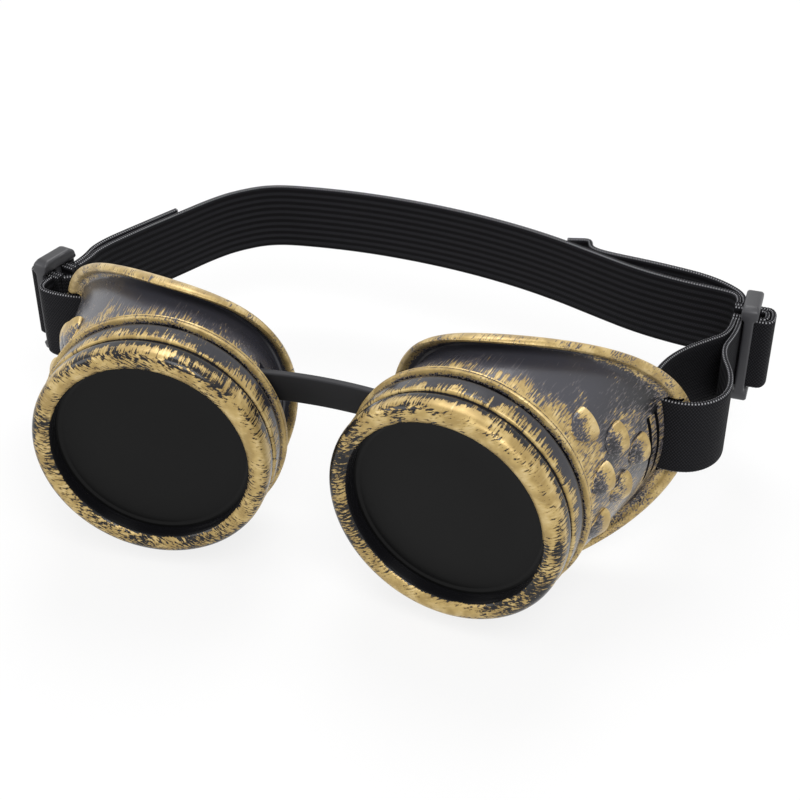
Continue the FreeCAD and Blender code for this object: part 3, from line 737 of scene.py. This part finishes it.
def eyecup_shape():
    """Mesh of the right eyecup in its own frame, millimetres."""
    rings = [round_ring(*point) for point in NECK + BEAD]
    rings += [wall_ring(k / OUTER_ROWS, *RIM[0]) for k in range(OUTER_ROWS)]
    rings += [rim_ring(*point) for point in RIM]
    rings += [wall_ring(k / INNER_ROWS, *RIM[-1]) for k in reversed(range(INNER_ROWS))]
    bm = loft(ROUND, rings)
    drop_marks(bm)
    bmesh.ops.bridge_loops(bm, edges=open_edges(bm))
    bmesh.ops.recalc_face_normals(bm, faces=bm.faces)
    cup = plain_object("cup", bm)
    scoops = bmesh.new()
    for hood in HOODS:
        add_hood(scoops, *hood)
    joined(cup, plain_object("scoops", scoops), "UNION")
    cuts = bmesh.new()
    for depth, width, height, corner in SLITS:
        add_box(cuts, (SLIT_OUT, depth, SLIT_LEVEL), (SLIT_REACH, width, height), corner)
    add_box(cuts, BRIDGE_SLOT, BRIDGE_SLOT_SIZES, BRIDGE_SLOT_CORNER, TOE_IN)
    joined(cup, plain_object("cuts", cuts), "DIFFERENCE")
    mesh = cup.data
    bpy.data.objects.remove(cup)
    return mesh


# Gold on the eyecups

# The bead: depths of its foot, groove, back and end, and the radius inside which the neck lies
BEAD_FOOT, BEAD_GROOVE, BEAD_BACK, BEAD_END, BEAD_INSIDE = 13.15, 14.15, 15.1, 15.12, 27.6
NECK_BACK = 15.3
# The dark gap in front of the bead ends here
GAP_END = 13.25
# Limits of the inside of the wall, of the rim's side on the face, and of the rim's front
INNER_SIDE, RIM_FACE, RIM_OUT, RIM_FRONT = -0.5, 0.3, 0.5, 4.0
# A point belongs to a scoop when it is near it and clear of the wall; the mouth is bare this deep
HOOD_FIELD, HOOD_CLEAR, HOOD_MARGIN, MOUTH_DEPTH = 6.0, 0.15, 0.1, 1.8
TEMPLE_OUT, SLIT_MARGIN = 20.0, 0.02


def hood_gold(point):
    """Gold on a scoop, or None off the scoops: heavy at the lip, little on the slope, bare in the mouth."""
    for depth, up in HOODS:
        if abs(point.y - depth) > HOOD_FIELD or abs(point.z - up) > HOOD_FIELD:
            continue
        own = wall_frame(depth, up).inverted() @ point
        within = HOOD_LIP - HOOD_LENGTH < own.y < HOOD_LIP + HOOD_MARGIN
        if within and own.x > HOOD_CLEAR and abs(own.z) < HOOD_HALF_WIDTH + HOOD_MARGIN:
            high, wide = hood_arch(1 - (HOOD_LIP - own.y) / HOOD_LENGTH)
            inside = math.hypot(own.x / (HOOD_HEIGHT * high), own.z / (HOOD_HALF_WIDTH * wide)) < 0.9
            if inside and own.y > HOOD_LIP - MOUTH_DEPTH:
                return BARE
            return SLOPE_GOLD + (LIP_GOLD - SLOPE_GOLD) * smooth(4.2, 0.8, HOOD_LIP - own.y)
    return None


def wall_gold(point, reach, temple, in_front):
    """Gold on the wall: heavy behind the bead and on the temple side, thin on the brow and along the rim."""
    back = point.y - BEAD_BACK
    near_bead = (0.46 - 0.26 * temple) * math.exp(-(back / 5.6) ** 2)
    brow = smooth(0.42, 0.78, reach.y) * smooth(3.0, 13.0, back)
    side = 0.33 * temple * (1 - 0.3 * smooth(16.0, 30.0, back)) * (1 - 0.7 * brow)
    crease = 0.25 * smooth(5.5, 3.0, in_front) * (1 - temple)
    slits = 0.12 * temple * smooth(38.5, 41.0, point.y) * smooth(13.0, 9.0, abs(point.z - SLIT_LEVEL))
    heap = 0.13 * math.exp(-((math.atan2(reach.y, reach.x) - 0.85) / 0.36) ** 2 - (back / 9.0) ** 2)
    return WALL_GOLD + near_bead + heap + side + slits - crease


def cup_gold(point):
    """How much gold the brush leaves on an eyecup."""
    on_neck = math.hypot(point.x, point.z) < BEAD_INSIDE and point.y < NECK_BACK
    if on_neck or point.y < BEAD_FOOT:
        return BARE
    middle, half_width, half_height = shell_oval((point.y - SHELL_START) / SHELL_LENGTH)
    reach = Vector(((point.x - middle) / half_width, point.z / half_height))
    beyond = (reach.length - 1) * (half_width + half_height) / 2
    in_front = RIM_CURVE - from_bar(point).length
    temple = smooth(-0.15, 0.75, reach.x / max(reach.length, 1e-6))
    if point.y < BEAD_END:
        groove = smooth(0.12, 0.0, abs(point.y - BEAD_GROOVE))
        return BEAD_GOLD - 0.1 * temple * smooth(0.3, -0.3, reach.y) - groove
    if beyond < INNER_SIDE:
        return BARE + (0.9 * smooth(-1.9, -0.9, beyond) if in_front < 0.4 else 0.0)
    if in_front < RIM_FACE:
        return 0.3 + 0.6 * smooth(0.0, 3.4, beyond)
    if beyond > RIM_OUT and in_front < RIM_FRONT:
        crease = 0.02 + 0.5 * temple
        return crease + (RIM_GOLD - crease) * smooth(1.3, 2.7, beyond)
    scoop = hood_gold(point)
    return wall_gold(point, reach, temple, in_front) if scoop is None else scoop


def cup_rub_and_sheen(point):
    """How far the black is rubbed: most on the temple side and in the gap before the bead. Where it is least,
    the black is paler, a painted reflection.
    """
    if point.y < GAP_END:
        return MOST_RUB_NO_SHEEN
    return LEAST_RUB_FULL_SHEEN + (MOST_RUB_NO_SHEEN - LEAST_RUB_FULL_SHEEN) * smooth(20.0, 32.0, point.x)


def inside_slit(point):
    """Whether a point lies on the cut walls of a slit, where no gold reaches."""
    level = abs(point.z - SLIT_LEVEL) - SLIT_MARGIN
    return point.x > TEMPLE_OUT and any(
        abs(point.y - depth) - SLIT_MARGIN < width / 2 and level < height / 2
        for depth, width, height, corner in SLITS
    )


def make_eyecup(side, shape, material):
    bm = bmesh.new()
    bm.from_mesh(shape)
    gold = bm.loops.layers.float.new("gold")
    rub_and_sheen = bm.verts.layers.float.new("rub_and_sheen")
    bm.verts.index_update()
    left = [cup_gold(vert.co) for vert in bm.verts]
    for vert in bm.verts:
        vert[rub_and_sheen] = cup_rub_and_sheen(vert.co)
    for face in bm.faces:
        bare = inside_slit(face.calc_center_median())
        for corner in face.loops:
            corner[gold] = BARE if bare else left[corner.vert.index]
    put_on(side, bm)
    return finished(f"{side}_cup_shell", bm, material)


# Nose bridge: a rubber strip that passes into both cups, with a stop head on each end

BRIDGE_END = Vector((13.398, -9.108, 11.4))
BRIDGE_REACH, BRIDGE_HEAD, BRIDGE_BOW = 20.42, 1.8, 1.0
BRIDGE_HEIGHT, BRIDGE_THICKNESS = 7.2, 2.0
BRIDGE_ROUNDING, BRIDGE_CUTS, BRIDGE_LONG_EDGE = 0.45, 47, 20.0
# Head of the strip: how many times as thick, and how far along the strip it thickens
HEAD_THICKER, HEAD_STEP = 2, 0.01


def make_bridge(material):
    bm = bmesh.new()
    bmesh.ops.create_cube(bm, size=1.0)
    bmesh.ops.scale(bm, vec=(2 * BRIDGE_REACH, BRIDGE_THICKNESS, BRIDGE_HEIGHT), verts=bm.verts)
    for facing in (-1, 1):
        faces = [face for face in bm.faces if face.normal.x * facing > 0.9]
        stop = bmesh.ops.extrude_discrete_faces(bm, faces=faces)["faces"]
        bmesh.ops.translate(bm, vec=(facing * HEAD_STEP, 0, 0), verts=stop[0].verts)
        bmesh.ops.scale(bm, vec=(1, HEAD_THICKER, 1), verts=stop[0].verts)
        stop = bmesh.ops.extrude_discrete_faces(bm, faces=stop)["faces"]
        bmesh.ops.translate(bm, vec=(facing * BRIDGE_HEAD, 0, 0), verts=stop[0].verts)
    long_edges = [edge for edge in bm.edges if edge.calc_length() > BRIDGE_LONG_EDGE]
    bmesh.ops.subdivide_edges(bm, edges=long_edges, cuts=BRIDGE_CUTS, use_grid_fill=True)
    round_edges(bm, sharp_edges(bm), BRIDGE_ROUNDING, 3)
    pale_edges = bm.verts.layers.float.new("edge")
    for vert in bm.verts:
        # Paler along the long edges: fully on the top edge, about a third as much on the bottom one
        high = smooth(2.9, 3.4, abs(vert.co.z))
        vert[pale_edges] = high * (1.0 if vert.co.z > 0 else 0.35)
        if abs(vert.co.x) < BRIDGE_END.x:
            vert.co.y += BRIDGE_BOW * (1 - (vert.co.x / BRIDGE_END.x) ** 2)
    bmesh.ops.recalc_face_normals(bm, faces=bm.faces)
    bmesh.ops.translate(bm, vec=(0.0, BRIDGE_END.y, BRIDGE_END.z), verts=bm.verts)
    return finished("bridge_strip", bm, material)


# Sliders: three bars between two thick end blocks

SLIDER_PLACE = {
    "right": Matrix.Translation((87.646, 59.532, 1.0)),
    "left": Matrix.Translation((-87.546, 26.132, 1.0)) @ Matrix.Rotation(math.radians(167.0), 4, "Z"),
}
# Edges of the three bars along the strap, and of the windows and end blocks up and down
MIDDLE_BAR, END_BAR, WINDOW_HALF = 1.1, 4.5, 10.0
SLIDER_LINES = (-6.1, -END_BAR, -MIDDLE_BAR, MIDDLE_BAR, END_BAR, 6.1)
SLIDER_ROWS = (-13.6, -12.8, -10.7, -WINDOW_HALF, WINDOW_HALF, 10.7, 12.8, 13.6)
SLIDER_THICKNESS = {13.6: 3.2, 12.8: 4.2, 10.7: 4.2, WINDOW_HALF: 2.4}
SLIDER_NARROWING = {13.6: 0.66, 12.8: 0.91}
SLIDER_ROUNDING = 0.6


def in_window(face):
    middle = face.calc_center_median()
    return abs(middle.z) < WINDOW_HALF and MIDDLE_BAR < abs(middle.y) < END_BAR


def make_slider(side, material):
    bm = bmesh.new()
    columns, rows = len(SLIDER_LINES), len(SLIDER_ROWS)
    bmesh.ops.create_grid(bm, x_segments=columns - 1, y_segments=rows - 1, size=1.0)
    for vert in bm.verts:
        line = SLIDER_LINES[round((vert.co.x + 1) / 2 * (columns - 1))]
        row = SLIDER_ROWS[round((vert.co.y + 1) / 2 * (rows - 1))]
        vert.co = (0.0, line * SLIDER_NARROWING.get(abs(row), 1.0), row)
    windows = [face for face in bm.faces if in_window(face)]
    bmesh.ops.delete(bm, geom=windows, context="FACES")
    bmesh.ops.recalc_face_normals(bm, faces=bm.faces)
    drawn = bmesh.ops.extrude_face_region(bm, geom=bm.faces[:], use_keep_orig=True)["geom"]
    front = {part for part in drawn if isinstance(part, bmesh.types.BMVert)}
    for vert in bm.verts:
        half = SLIDER_THICKNESS[min(SLIDER_THICKNESS, key=lambda row: abs(row - abs(vert.co.z)))] / 2
        vert.co.x = half if vert in front else -half
    bmesh.ops.recalc_face_normals(bm, faces=bm.faces)
    round_edges(bm, sharp_edges(bm), SLIDER_ROUNDING, 3, clamp=True)
    pale_edges = bm.verts.layers.float.new("edge")
    bm.normal_update()
    for vert in bm.verts:
        turns = [edge.calc_face_angle(0.0) for edge in vert.link_edges]
        vert[pale_edges] = smooth(0.1, 0.4, max(turns))
    bmesh.ops.transform(bm, matrix=SLIDER_PLACE[side], verts=bm.verts)
    return finished(f"{side}_three_bar_slider", bm, material)


# Elastic strap: ribbons along smooth routes seen from above

RIGHT_RUN = ((83.9, 63.91), (83.9, 67.91), (79.65, 69.33), (69.15, 70.53), (57.15, 73.33))
LEFT_RUN = ((-82.91, 29.55), (-82.01, 33.45), (-82.05, 39.63), (-76.55, 52.63), (-70.15, 66.13))
BACK = (
    (46.2, 77.81), (33.22, 83.28), (20.23, 87.44), (5.21, 90.69), (-9.68, 92.45), (-25.59, 92.95),
    (-41.63, 91.64), (-53.6, 89.27), (-61.62, 82.01), (-66.2, 74.65),
)
OUTER_LEG = {
    "right": (
        (69.71, 18.77), (69.21, 15.4), (80.09, 13.79), (86.65, 19.53), (87.25, 29.03), (82.95, 40.03),
        (85.35, 49.43), (85.35, 55.16),
    ),
    "left": ((-69.71, 18.77), (-69.21, 15.4), (-80.09, 13.79), (-87.58, 15.77), (-86.29, 21.35)),
}
INNER_LEG = {
    "right": (
        (69.71, 18.78), (69.82, 19.56), (69.95, 27.53), (73.2, 36.3), (79.2, 43.6), (83.9, 48.6),
        (83.9, 55.16),
    ),
    "left": ((-69.71, 18.78), (-69.82, 19.56), (-74.35, 23.03), (-78.95, 25.23), (-83.16, 22.25)),
}
RIGHT_TAIL = (
    (85.35, 63.91), (85.35, 67.91), (80.55, 72.43), (74.05, 75.53), (67.05, 77.03), (58.55, 78.43),
    (51.05, 79.23), (46.6, 79.9), (43.6, 80.9), (42.2, 82.4), (41.9, 84.6), (40.6, 85.3), (38.6, 84.7),
    (35.6, 83.9),
)
LEFT_TAIL = ((-84.32, 29.88), (-83.42, 33.77), (-84.05, 41.43), (-78.85, 53.43), (-72.45, 67.03))
# Where the right tail is split, near the end of the right run
TAIL_SPLIT = (57.0, 78.5)
# Arches over a slider's middle bar, in the slider's frame: two layers, and how far their turn bulges
ARCH_FOOT, ARCH_TOP, ARCH_BULGE = -4.35, 1.7, 1.08
ARCH_RADII = {"under": 2.075, "over": 3.525}

# Ribbon section: offset across the thickness as a share of half of it, and place across the width
FACE_LINES = (-9.2, -7.6, -5.0, -2.5, 0.0, 2.5, 5.0, 7.6, 9.2)
RIBBON = (
    [(1.0, z) for z in FACE_LINES] + [(0.62, 9.44), (0.0, 9.5), (-0.62, 9.44)]
    + [(-1.0, z) for z in reversed(FACE_LINES)] + [(-0.62, -9.44), (0.0, -9.5), (0.62, -9.44)]
)
# Every other station of an edge stands out, as a tooth
TOOTH_OUT, TOOTH_IN = 0.14, -0.02


def smooth_line(points):
    """Points along the smooth spline that a route of corner points gives."""
    curve = bpy.data.curves.new("route", "CURVE")
    curve.dimensions = "3D"
    curve.resolution_u = 40
    spline = curve.splines.new("NURBS")
    spline.points.add(len(points) - 1)
    for point, (x, y) in zip(spline.points, points):
        point.co = (x, y, 0.0, 1.0)
    spline.order_u = 3
    spline.use_endpoint_u = True
    holder = bpy.data.objects.new("route", curve)
    mesh = bpy.data.meshes.new_from_object(holder)
    line = [vert.co.copy() for vert in mesh.vertices]
    bpy.data.meshes.remove(mesh)
    bpy.data.objects.remove(holder)
    bpy.data.curves.remove(curve)
    return line


def even_line(line, pitch):
    """The same line with points at an even pitch, and the distance of each along it."""
    lengths = [(b - a).length for a, b in zip(line, line[1:])]
    count = max(round(sum(lengths) / pitch), 4)
    pitch = sum(lengths) / count
    stops = []
    at, done = 0, 0.0
    for k in range(count + 1):
        wanted = min(k * pitch, sum(lengths) - 1e-9)
        while done + lengths[at] < wanted:
            done += lengths[at]
            at += 1
        share = (wanted - done) / lengths[at]
        stops.append((line[at].lerp(line[at + 1], share), wanted))
    return stops


def headed(stops):
    """Stops of place, direction of the line there, and distance."""
    places = [place for place, distance in stops]
    result = []
    for k, (place, distance) in enumerate(stops):
        before = places[max(k - 1, 0)]
        after = places[min(k + 1, len(places) - 1)]
        result.append((place, (after - before).normalized(), distance))
    return result


def route_stops(points):
    return headed(even_line(smooth_line(points), STITCH))


def ribbon_section(place, heading, tooth):
    """The section of a ribbon at one stop."""
    aside = Vector((-heading.y, heading.x, 0.0))

    def at(i):
        offset, up = RIBBON[i]
        rise = up + math.copysign(tooth, up) if abs(up) > FACE_LINES[-1] else up
        return place + aside * offset * STRAP_THICKNESS / 2 + Vector((0.0, 0.0, STRAP_LEVEL + rise))
    return at


def ribbon(name, stops, material, inner):
    """Elastic ribbon through stops of place, direction and distance; inner is the side of its inner face."""
    bm = loft(len(RIBBON), [
        ribbon_section(place, heading, TOOTH_OUT if k % 2 else TOOTH_IN)
        for k, (place, heading, distance) in enumerate(stops)
    ])
    weave = bm.verts.layers.float_vector.new("weave")
    number = bm.verts.layers.int["number"]
    station = bm.verts.layers.int["station"]
    for vert in bm.verts:
        offset, up = RIBBON[vert[number]]
        vert[weave] = (vert[station] * STITCH, up, offset * inner)
    drop_marks(bm)
    bmesh.ops.holes_fill(bm, edges=open_edges(bm), sides=0)
    bmesh.ops.recalc_face_normals(bm, faces=bm.faces)
    return finished(name, bm, material, 50.0)


def nearest(stops, x, y):
    """Number of the stop nearest to a place."""
    return min(range(len(stops)), key=lambda k: (stops[k][0] - Vector((x, y, 0.0))).length)


def length_of(stops):
    return (stops[-1][2] - stops[0][2]) * MM


def meters(stop):
    return tuple((stop[0] + Vector((0.0, 0.0, STRAP_LEVEL))) * MM)


# Put the goggles together


def settle(item, body, slot, *nodes):
    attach(item, body)
    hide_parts(*nodes)


def bent(item, nodes, stops, first, second, start, end, rests_on):
    """A length of strap, baked in place, that stands in for the CAD pieces it hides."""
    meters(start)
    meters(end)
    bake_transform(item)
    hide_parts(*nodes)
    length_of(stops)


elastic = elastic_finish()
slider_plastic = slider_finish()
dark_lens = lens_finish()
cup_shape = eyecup_shape()
for side in SIDES:
    ring = make_ring(side, ring_finish(side))
    settle(ring, f"{side}_ring", "antique_gold_ring", f"{side}_bezel_ring")
    lens = make_lens(side, dark_lens)
    settle(lens, f"{side}_lens_pack", "dark_lens", f"{side}_lens")
    cup = make_eyecup(side, cup_shape, cup_finish(side))
    settle(cup, f"{side}_cup", "antique_gold_shell", f"{side}_eyecup")
    slider = make_slider(side, slider_plastic)
    settle(slider, f"{side}_adjuster", "slider_plastic", f"{side}_slider")
settle(make_bridge(rubber_finish()), "bridge", "bridge_rubber", "nose_bridge")

main = route_stops(RIGHT_RUN + BACK + LEFT_RUN[::-1])
right_join = nearest(main, *RIGHT_RUN[-1])
left_join = nearest(main, *LEFT_RUN[-1])
centre = min(range(len(main)), key=lambda k: abs(main[k][0].x))
for side, sign, run, half in (
    ("right", 1, main[:right_join + 1], main[right_join:centre + 1]),
    ("left", -1, main[left_join:], main[centre:left_join + 1]),
):
    outer_end, join = (run[0], run[-1]) if side == "right" else (run[-1], run[0])
    piece = ribbon(f"{side}_elastic_run", run, elastic, 1)
    bent(
        piece, [f"{side}_strap_run"], run, f"{side}_cup", f"{side}_adjuster", join, outer_end,
        [f"{side}_slider"],
    )
    piece = ribbon(f"{side}_elastic_back", half, elastic, 1)
    bent(piece, ["strap_back"], half, "bridge", f"{side}_cup", main[centre], join, [f"{side}_slider"])
    for name, routes in (("outer_leg", OUTER_LEG), ("inner_leg", INNER_LEG)):
        leg = route_stops(routes[side])
        piece = ribbon(f"{side}_elastic_{name}", leg, elastic, sign)
        bent(
            piece, [f"{side}_strap_{name}"], leg, f"{side}_cup", f"{side}_adjuster",
            leg[len(leg) // 3], leg[-1], [f"{side}_eyecup", f"{side}_slider"],
        )

tail = route_stops(RIGHT_TAIL)
split = nearest(tail, *TAIL_SPLIT)
for name, part in (("near", tail[:split + 1]), ("end", tail[split:])):
    piece = ribbon(f"right_elastic_tail_{name}", part, elastic, 1)
    bodies = ("right_cup", "right_adjuster", part[-1], part[0])
    if name == "end":
        bodies = ("bridge", "right_cup", main[centre], part[0])
    bent(piece, ["right_strap_tail"], part, *bodies, ["right_slider"])
tail = route_stops(LEFT_TAIL)
piece = ribbon("left_elastic_tail", tail, elastic, -1)
bent(piece, ["left_strap_tail"], tail, "left_cup", "left_adjuster", tail[-1], tail[0], ["left_slider"])

for side in SIDES:
    for name, radius in ARCH_RADII.items():
        reach = ARCH_TOP + radius * ARCH_BULGE
        corners = (
            (ARCH_FOOT, -radius), (ARCH_TOP, -radius), (reach, -radius),
            (reach, radius), (ARCH_TOP, radius), (ARCH_FOOT, radius),
        )
        places = [SLIDER_PLACE[side] @ Vector((x, y, 0.0)) for x, y in corners]
        arch = route_stops([(place.x, place.y) for place in places])
        piece = ribbon(f"{side}_elastic_arch_{name}", arch, elastic, 1)
        settle(piece, f"{side}_adjuster", "elastic", f"{side}_strap_arch")
        length_of(arch)

# Floor, light and camera

FLOOR_HALF, FLOOR_GAP = 4000.0, 0.5
FLOOR_GLOW, ROOM_LIGHT = 0.82, 0.45
# Lamps: place in metres, size and power
LAMPS = {
    "key": ((0.35, -0.5, 0.85), 0.55, 5.5),
    "side": ((-0.85, -0.35, 0.45), 0.5, 2.0),
    "top": ((-0.1, 0.5, 0.85), 0.6, 5.0),
}
# Camera: place in millimetres, direction, and focal length in pixels of the photo
EYE_PLACE = Vector((103.14, -264.42, 194.61))
AZIMUTH, ELEVATION = math.radians(18.3), math.radians(33.92)
FOCUS, PHOTO_WIDTH, SENSOR = 1462.8, 800, 36.0


def pale_floor():
    """White where it is seen, so that it meets the background, with soft shadows."""
    finish = Finish("pale_floor")
    finish.set(Base_Color=rgb(0.86, 0.86, 0.86), Roughness=0.9, Specular_IOR_Level=0.0)
    glow = finish.node("ShaderNodeEmission", {}, {"Color": WHITE, "Strength": 1.0})
    matt = Flow(finish, finish.shader.outputs[0])
    mixed = finish.node("ShaderNodeMixShader", {}, {0: finish.seen() * FLOOR_GLOW, 1: matt, 2: glow})
    finish.feed(finish.tree.nodes["Material Output"].inputs["Surface"], mixed)
    return finish.material


def make_floor():
    bm = bmesh.new()
    bmesh.ops.create_grid(bm, x_segments=8, y_segments=8, size=FLOOR_HALF)
    lowest = Vector(cad_box[0]).z / MM
    bmesh.ops.translate(bm, vec=(0.0, 0.0, lowest - FLOOR_GAP), verts=bm.verts)
    return finished("floor", bm, pale_floor())


def make_room():
    """A white background that lights the goggles less than it shows."""
    world = bpy.data.worlds.new("studio")
    bpy.context.scene.world = world
    world.use_nodes = True
    air = Nodes(world.node_tree)
    strength = air.node("ShaderNodeMapRange", {}, {"Value": air.seen(), "To Min": ROOM_LIGHT, "To Max": 1.0})
    background = air.tree.nodes["Background"]
    air.feed(background.inputs["Color"], WHITE)
    air.feed(background.inputs["Strength"], strength)


def place_item(name, data, place, ahead):
    """Put a lamp or camera in its place, facing ahead."""
    item = bpy.data.objects.new(name, data)
    item.location = place
    item.rotation_mode = "QUATERNION"
    item.rotation_quaternion = ahead.to_track_quat("-Z", "Y")
    bpy.context.scene.collection.objects.link(item)
    return item


def make_lamp(name, place, size, power):
    light = bpy.data.lights.new(name, "AREA")
    light.shape = "DISK"
    light.size = size
    light.energy = power
    place_item(name, light, place, -Vector(place))


def make_camera():
    camera = bpy.data.cameras.new("camera")
    camera.sensor_width = SENSOR
    camera.lens = FOCUS / PHOTO_WIDTH * SENSOR
    level = math.cos(ELEVATION)
    ahead = Vector((-math.sin(AZIMUTH) * level, math.cos(AZIMUTH) * level, -math.sin(ELEVATION)))
    bpy.context.scene.camera = place_item("camera", camera, EYE_PLACE * MM, ahead)


make_floor()
make_room()
for name, lamp in LAMPS.items():
    make_lamp(name, *lamp)
make_camera()
bpy.context.scene.view_settings.view_transform = "Standard"
